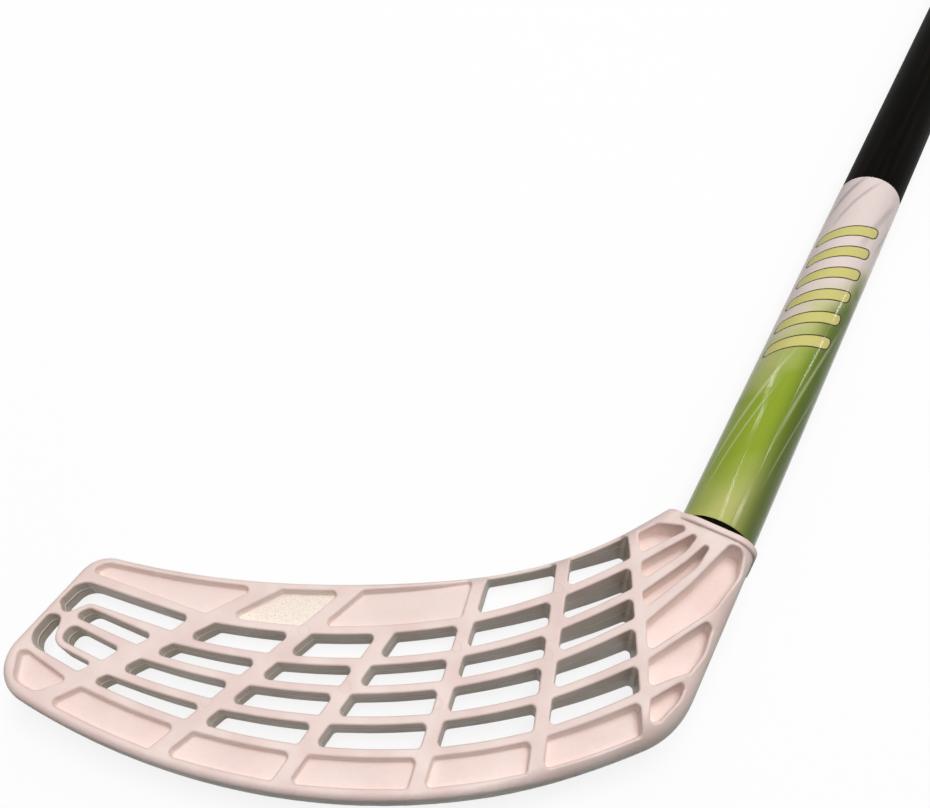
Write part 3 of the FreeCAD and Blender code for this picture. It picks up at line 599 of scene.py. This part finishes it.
def cap_material(colours):
    """Moulded butt cap with fine turned rings and a light wear."""
    material, bench = new_material("cap_plastic")
    fine, mottle = grain(bench, 0.45 * MM, 8 * MM)
    middle = bench.add("ShaderNodeMapping", {"Vector": bench.place(), "Location": -SHOULDER})
    axes = bench.add("ShaderNodeSeparateXYZ", {0: middle.outputs[0]}).outputs
    radius = bench.math("SQRT", bench.math("ADD", bench.math("MULTIPLY", axes[0], axes[0]),
                                           bench.math("MULTIPLY", axes[2], axes[2])))
    rings = bench.math("SINE", bench.math("MULTIPLY", radius, math.tau / RING_PITCH))
    tint = bench.mix(mottle, colours.cap, colours.cap_worn)
    height = bench.math("MULTIPLY_ADD", rings, 0.25, fine)
    finish_material(bench, Base_Color=tint, Roughness=bench.math("MULTIPLY_ADD", fine, 0.25, 0.42),
                    Normal=bench.bump(height, 0.08 * MM, 0.5), IOR=1.5)
    return material


def screw_material(colours):
    """Plated steel with a mottled plating."""
    material, bench = new_material("screw_steel")
    fine, mottle = grain(bench, 0.3 * MM, 2 * MM)
    tint = bench.mix(mottle, colours.steel, colours.steel_dull)
    finish_material(bench, Base_Color=tint, Metallic=1.0, Roughness=bench.math("MULTIPLY_ADD", fine, 0.2, 0.25),
                    Normal=bench.bump(fine, 0.03 * MM, 0.4))
    return material


def seen_rays(bench):
    """Mask of the rays that show the background: to the camera, in reflections and through clear things."""
    rays = bench.add("ShaderNodeLightPath").outputs
    return bench.math("MAXIMUM", rays["Is Camera Ray"],
                      bench.math("MAXIMUM", rays["Is Glossy Ray"], rays["Is Transmission Ray"]))


def floor_material(colours):
    """Pale floor that shows white to the camera and keeps the soft shadow of the stick."""
    material, bench = new_material("studio_floor")
    paint = bench.add("ShaderNodeBsdfDiffuse", {"Color": colours.floor})
    shaded = bench.add("ShaderNodeBsdfDiffuse", {"Color": colours.floor_seen})
    lift = bench.add("ShaderNodeEmission", {"Color": (1, 1, 1, 1), "Strength": FLOOR_LIFT})
    shown = bench.add("ShaderNodeAddShader", {0: shaded.outputs[0], 1: lift.outputs[0]})
    mixed = bench.add("ShaderNodeMixShader", {0: seen_rays(bench), 1: paint.outputs[0], 2: shown.outputs[0]})
    bench.add("ShaderNodeOutputMaterial", {"Surface": mixed.outputs[0]})
    return material


# Meshes, lamps, world and camera


def dress(piece, material):
    """Give an object one material."""
    piece.data.materials.clear()
    piece.data.materials.append(material)


def link_mesh(bm, name):
    """New object at the origin from a finished bmesh."""
    mesh = bpy.data.meshes.new(name)
    bm.to_mesh(mesh)
    bm.free()
    piece = bpy.data.objects.new(name, mesh)
    bpy.context.scene.collection.objects.link(piece)
    return piece


def smooth_copy(node, name):
    """Merged copy of a node's mesh, shaded smooth between its sharp edges, which stands for the node."""
    bm = bmesh.new()
    bm.from_mesh(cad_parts[node].data)
    bmesh.ops.remove_doubles(bm, verts=bm.verts, dist=0.001 * MM)
    for face in bm.faces:
        face.smooth = True
    piece = link_mesh(bm, name)
    piece.data.set_sharp_from_angle(angle=SOLID_ANGLE)
    weighted = piece.modifiers.new("even_normals", "WEIGHTED_NORMAL")
    weighted.keep_sharp = True
    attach(piece, "root")
    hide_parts(node)
    return piece


def wound_wrap(sizes):
    """Grip wound up the shaft, each turn lapping over the one before, cut square and pressed under its tape."""
    thick = (GRIP_RADIUS - SHAFT_RADIUS) / 2
    pitch = sizes.wrap_pitch
    # Section of the wrap: pitches along the shaft, and thicknesses off it
    end = 1.0 + sizes.wrap_overlap / pitch
    section = ((0.0, 0.05), (0.0, 0.85), (0.03, 1.0), (1.0, 1.0), (1.06, 1.98), (end - 0.03, 2.0),
               (end, 1.85), (end, 1.05), (1.07, 1.02), (1.01, 0.05))
    bm = bmesh.new()
    start = grip_low.y - 2 * pitch
    ring = [bm.verts.new((SHOULDER.x, start + along * pitch, SHOULDER.z + SHAFT_RADIUS + up * thick))
            for along, up in section]
    face = bm.faces.new(ring)
    turns = math.ceil((grip_high.y - start) / pitch) + 1
    steps = turns * sizes.wrap_steps
    bmesh.ops.spin(bm, geom=[face], cent=SHOULDER, axis=(0, 1, 0), dvec=(0, turns * pitch / steps, 0),
                   angle=turns * math.tau, steps=steps)
    for place, side in ((grip_low.y, -1), (grip_high.y, 1)):
        bmesh.ops.bisect_plane(bm, geom=[*bm.verts, *bm.edges, *bm.faces], plane_co=(0, place, 0),
                               plane_no=(0, side, 0), clear_outer=True)
        edges = [edge for edge in bm.edges if edge.is_boundary]
        bmesh.ops.holes_fill(bm, edges=edges)
    bmesh.ops.bisect_plane(bm, geom=[*bm.verts, *bm.edges, *bm.faces], plane_co=closing_high, plane_no=(0, 1, 0))
    for vert in bm.verts:
        spoke = Vector((vert.co.x - SHOULDER.x, 0, vert.co.z - SHOULDER.z))
        if vert.co.y < closing_high.y + 0.01 * MM and spoke.length > PRESSED_RADIUS:
            vert.co -= spoke * (1 - PRESSED_RADIUS / spoke.length)
    bmesh.ops.recalc_face_normals(bm, faces=bm.faces)
    for face in bm.faces:
        face.smooth = True
    piece = link_mesh(bm, "grip_wrap")
    piece.data.set_sharp_from_angle(angle=WRAP_ANGLE)
    return piece


def studio_bowl(sizes):
    """Round studio floor that curves up into a wall."""
    bm = bmesh.new()
    bmesh.ops.create_circle(bm, cap_ends=True, radius=sizes.floor_radius, segments=96)
    rim = [edge for edge in bm.edges if edge.is_boundary]
    raised = bmesh.ops.extrude_edge_only(bm, edges=rim)["geom"]
    bmesh.ops.translate(bm, verts=[part for part in raised if isinstance(part, bmesh.types.BMVert)],
                        vec=(0, 0, sizes.wall_height))
    bmesh.ops.bevel(bm, geom=rim, offset=sizes.wall_height / 2, offset_type="OFFSET", affect="EDGES", segments=12,
                    profile=0.5, material=-1)
    for face in bm.faces:
        face.smooth = True
    return link_mesh(bm, "studio_floor")


def hang_lamp(name, start, end, width, power):
    """Area lamp between two points that faces the blade."""
    data = bpy.data.lights.new(name, "AREA")
    data.shape = "RECTANGLE"
    data.size = width
    data.size_y = (end - start).length
    data.energy = power
    lamp = bpy.data.objects.new(name, data)
    lamp.location = (start + end) / 2
    back = (lamp.location - LAMP_AIM).normalized()
    across = (end - start).cross(back).normalized()
    lamp.rotation_euler = Matrix((across, back.cross(across), back)).transposed().to_euler()
    bpy.context.scene.collection.objects.link(lamp)


def studio_world():
    """World that lights the stick softly and shows as pale as the floor."""
    world = bpy.data.worlds.new("studio_world")
    world.use_nodes = True
    bench = Bench(world.node_tree)
    background = world.node_tree.nodes["Background"]
    bench.feed(background.inputs["Color"], (1, 1, 1, 1))
    strength = bench.math("MULTIPLY_ADD", seen_rays(bench), WORLD_SEEN - WORLD_LIGHT, WORLD_LIGHT)
    bench.feed(background.inputs["Strength"], strength)
    return world


def photo_camera(sizes):
    """Camera where the photograph was taken from."""
    data = bpy.data.cameras.new("photo_camera")
    data.sensor_fit = "HORIZONTAL"
    data.lens = sizes.lens
    data.clip_start = 10 * MM
    camera = bpy.data.objects.new("photo_camera", data)
    camera.location = SHOULDER + Vector(sizes.camera_place)
    camera.rotation_euler = sizes.camera_turn
    bpy.context.scene.collection.objects.link(camera)
    return camera


# Operators


class STICK_OT_blade(bpy.types.Operator):
    """Finish the moulded blade"""
    bl_idname = "stick.blade"
    bl_label = "Blade"

    def execute(self, context):
        """Dress the blade."""
        piece = smooth_copy("blade", "blade_moulding")
        dress(piece, blade_material(context.scene.stick_colours))
        return {"FINISHED"}


class STICK_OT_shaft(bpy.types.Operator):
    """Finish the shaft"""
    bl_idname = "stick.shaft"
    bl_label = "Shaft"

    def execute(self, context):
        """Dress the tube."""
        piece = smooth_copy("shaft_tube", "lacquered_tube")
        dress(piece, shaft_material(context.scene.stick_colours))
        return {"FINISHED"}


class STICK_OT_film(bpy.types.Operator):
    """Print the film round the shaft"""
    bl_idname = "stick.film"
    bl_label = "Film"

    def execute(self, context):
        """Dress the film."""
        piece = smooth_copy("decal_wrap", "film_sleeve")
        dress(piece, film_material(context.scene.stick_colours))
        return {"FINISHED"}


class STICK_OT_grip(bpy.types.Operator):
    """Wind the grip"""
    bl_idname = "stick.grip"
    bl_label = "Grip"

    def execute(self, context):
        """Model and dress the wound wrap."""
        sizes = context.scene.stick_sizes
        piece = wound_wrap(sizes)
        dress(piece, grip_material(context.scene.stick_colours, sizes))
        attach(piece, "root")
        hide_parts("grip_tape")
        return {"FINISHED"}


class STICK_OT_tape(bpy.types.Operator):
    """Finish the closing tape of the grip"""
    bl_idname = "stick.tape"
    bl_label = "Closing tape"

    def execute(self, context):
        """Dress the tape."""
        piece = smooth_copy("grip_finish_tape", "closing_tape")
        dress(piece, tape_material(context.scene.stick_colours))
        return {"FINISHED"}


class STICK_OT_cap(bpy.types.Operator):
    """Finish the butt cap"""
    bl_idname = "stick.cap"
    bl_label = "Butt cap"

    def execute(self, context):
        """Dress the cap."""
        piece = smooth_copy("end_cap", "butt_cap")
        dress(piece, cap_material(context.scene.stick_colours))
        return {"FINISHED"}


class STICK_OT_screws(bpy.types.Operator):
    """Finish the blade screws"""
    bl_idname = "stick.screws"
    bl_label = "Screws"

    def execute(self, context):
        """Dress the screws."""
        dress(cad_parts["blade_screws"], screw_material(context.scene.stick_colours))
        return {"FINISHED"}


class STICK_OT_stage(bpy.types.Operator):
    """Set up the floor, the lights and the camera"""
    bl_idname = "stick.stage"
    bl_label = "Stage"

    def execute(self, context):
        """Make the studio."""
        scene = context.scene
        sizes = scene.stick_sizes
        floor = studio_bowl(sizes)
        dress(floor, floor_material(scene.stick_colours))
        for name, start, end, width, power in LAMPS:
            hang_lamp(name, Vector(start), Vector(end), width, power)
        scene.world = studio_world()
        scene.camera = photo_camera(sizes)
        scene.view_settings.view_transform = "Standard"
        return {"FINISHED"}


class STICK_PT_panel(bpy.types.Panel):
    """Pieces and sizes of the stick"""
    bl_idname = "STICK_PT_panel"
    bl_label = "Floorball stick"
    bl_space_type = "VIEW_3D"
    bl_region_type = "UI"
    bl_category = "Stick"

    def draw(self, context):
        """List the operators and the properties."""
        for operator in OPERATORS:
            self.layout.operator(operator.bl_idname)
        for group in (context.scene.stick_sizes, context.scene.stick_colours):
            for name in group.bl_rna.properties.keys():
                if name not in ("rna_type", "name"):
                    self.layout.prop(group, name)


OPERATORS = (STICK_OT_blade, STICK_OT_shaft, STICK_OT_film, STICK_OT_screws, STICK_OT_grip, STICK_OT_tape,
             STICK_OT_cap, STICK_OT_stage)
CLASSES = (StickColours, StickSizes, *OPERATORS, STICK_PT_panel)


def register():
    """Register the classes and hang the properties on the scene."""
    for cls in CLASSES:
        bpy.utils.register_class(cls)
    bpy.types.Scene.stick_colours = PointerProperty(type=StickColours)
    bpy.types.Scene.stick_sizes = PointerProperty(type=StickSizes)


def unregister():
    """Undo register."""
    del bpy.types.Scene.stick_sizes
    del bpy.types.Scene.stick_colours
    for cls in reversed(CLASSES):
        bpy.utils.unregister_class(cls)


def main():
    """Build the whole stick and its studio."""
    register()
    bpy.ops.stick.blade()
    bpy.ops.stick.shaft()
    bpy.ops.stick.film()
    bpy.ops.stick.screws()
    bpy.ops.stick.grip()
    bpy.ops.stick.tape()
    bpy.ops.stick.cap()
    bpy.ops.stick.stage()


if __name__ == "__main__":
    main()
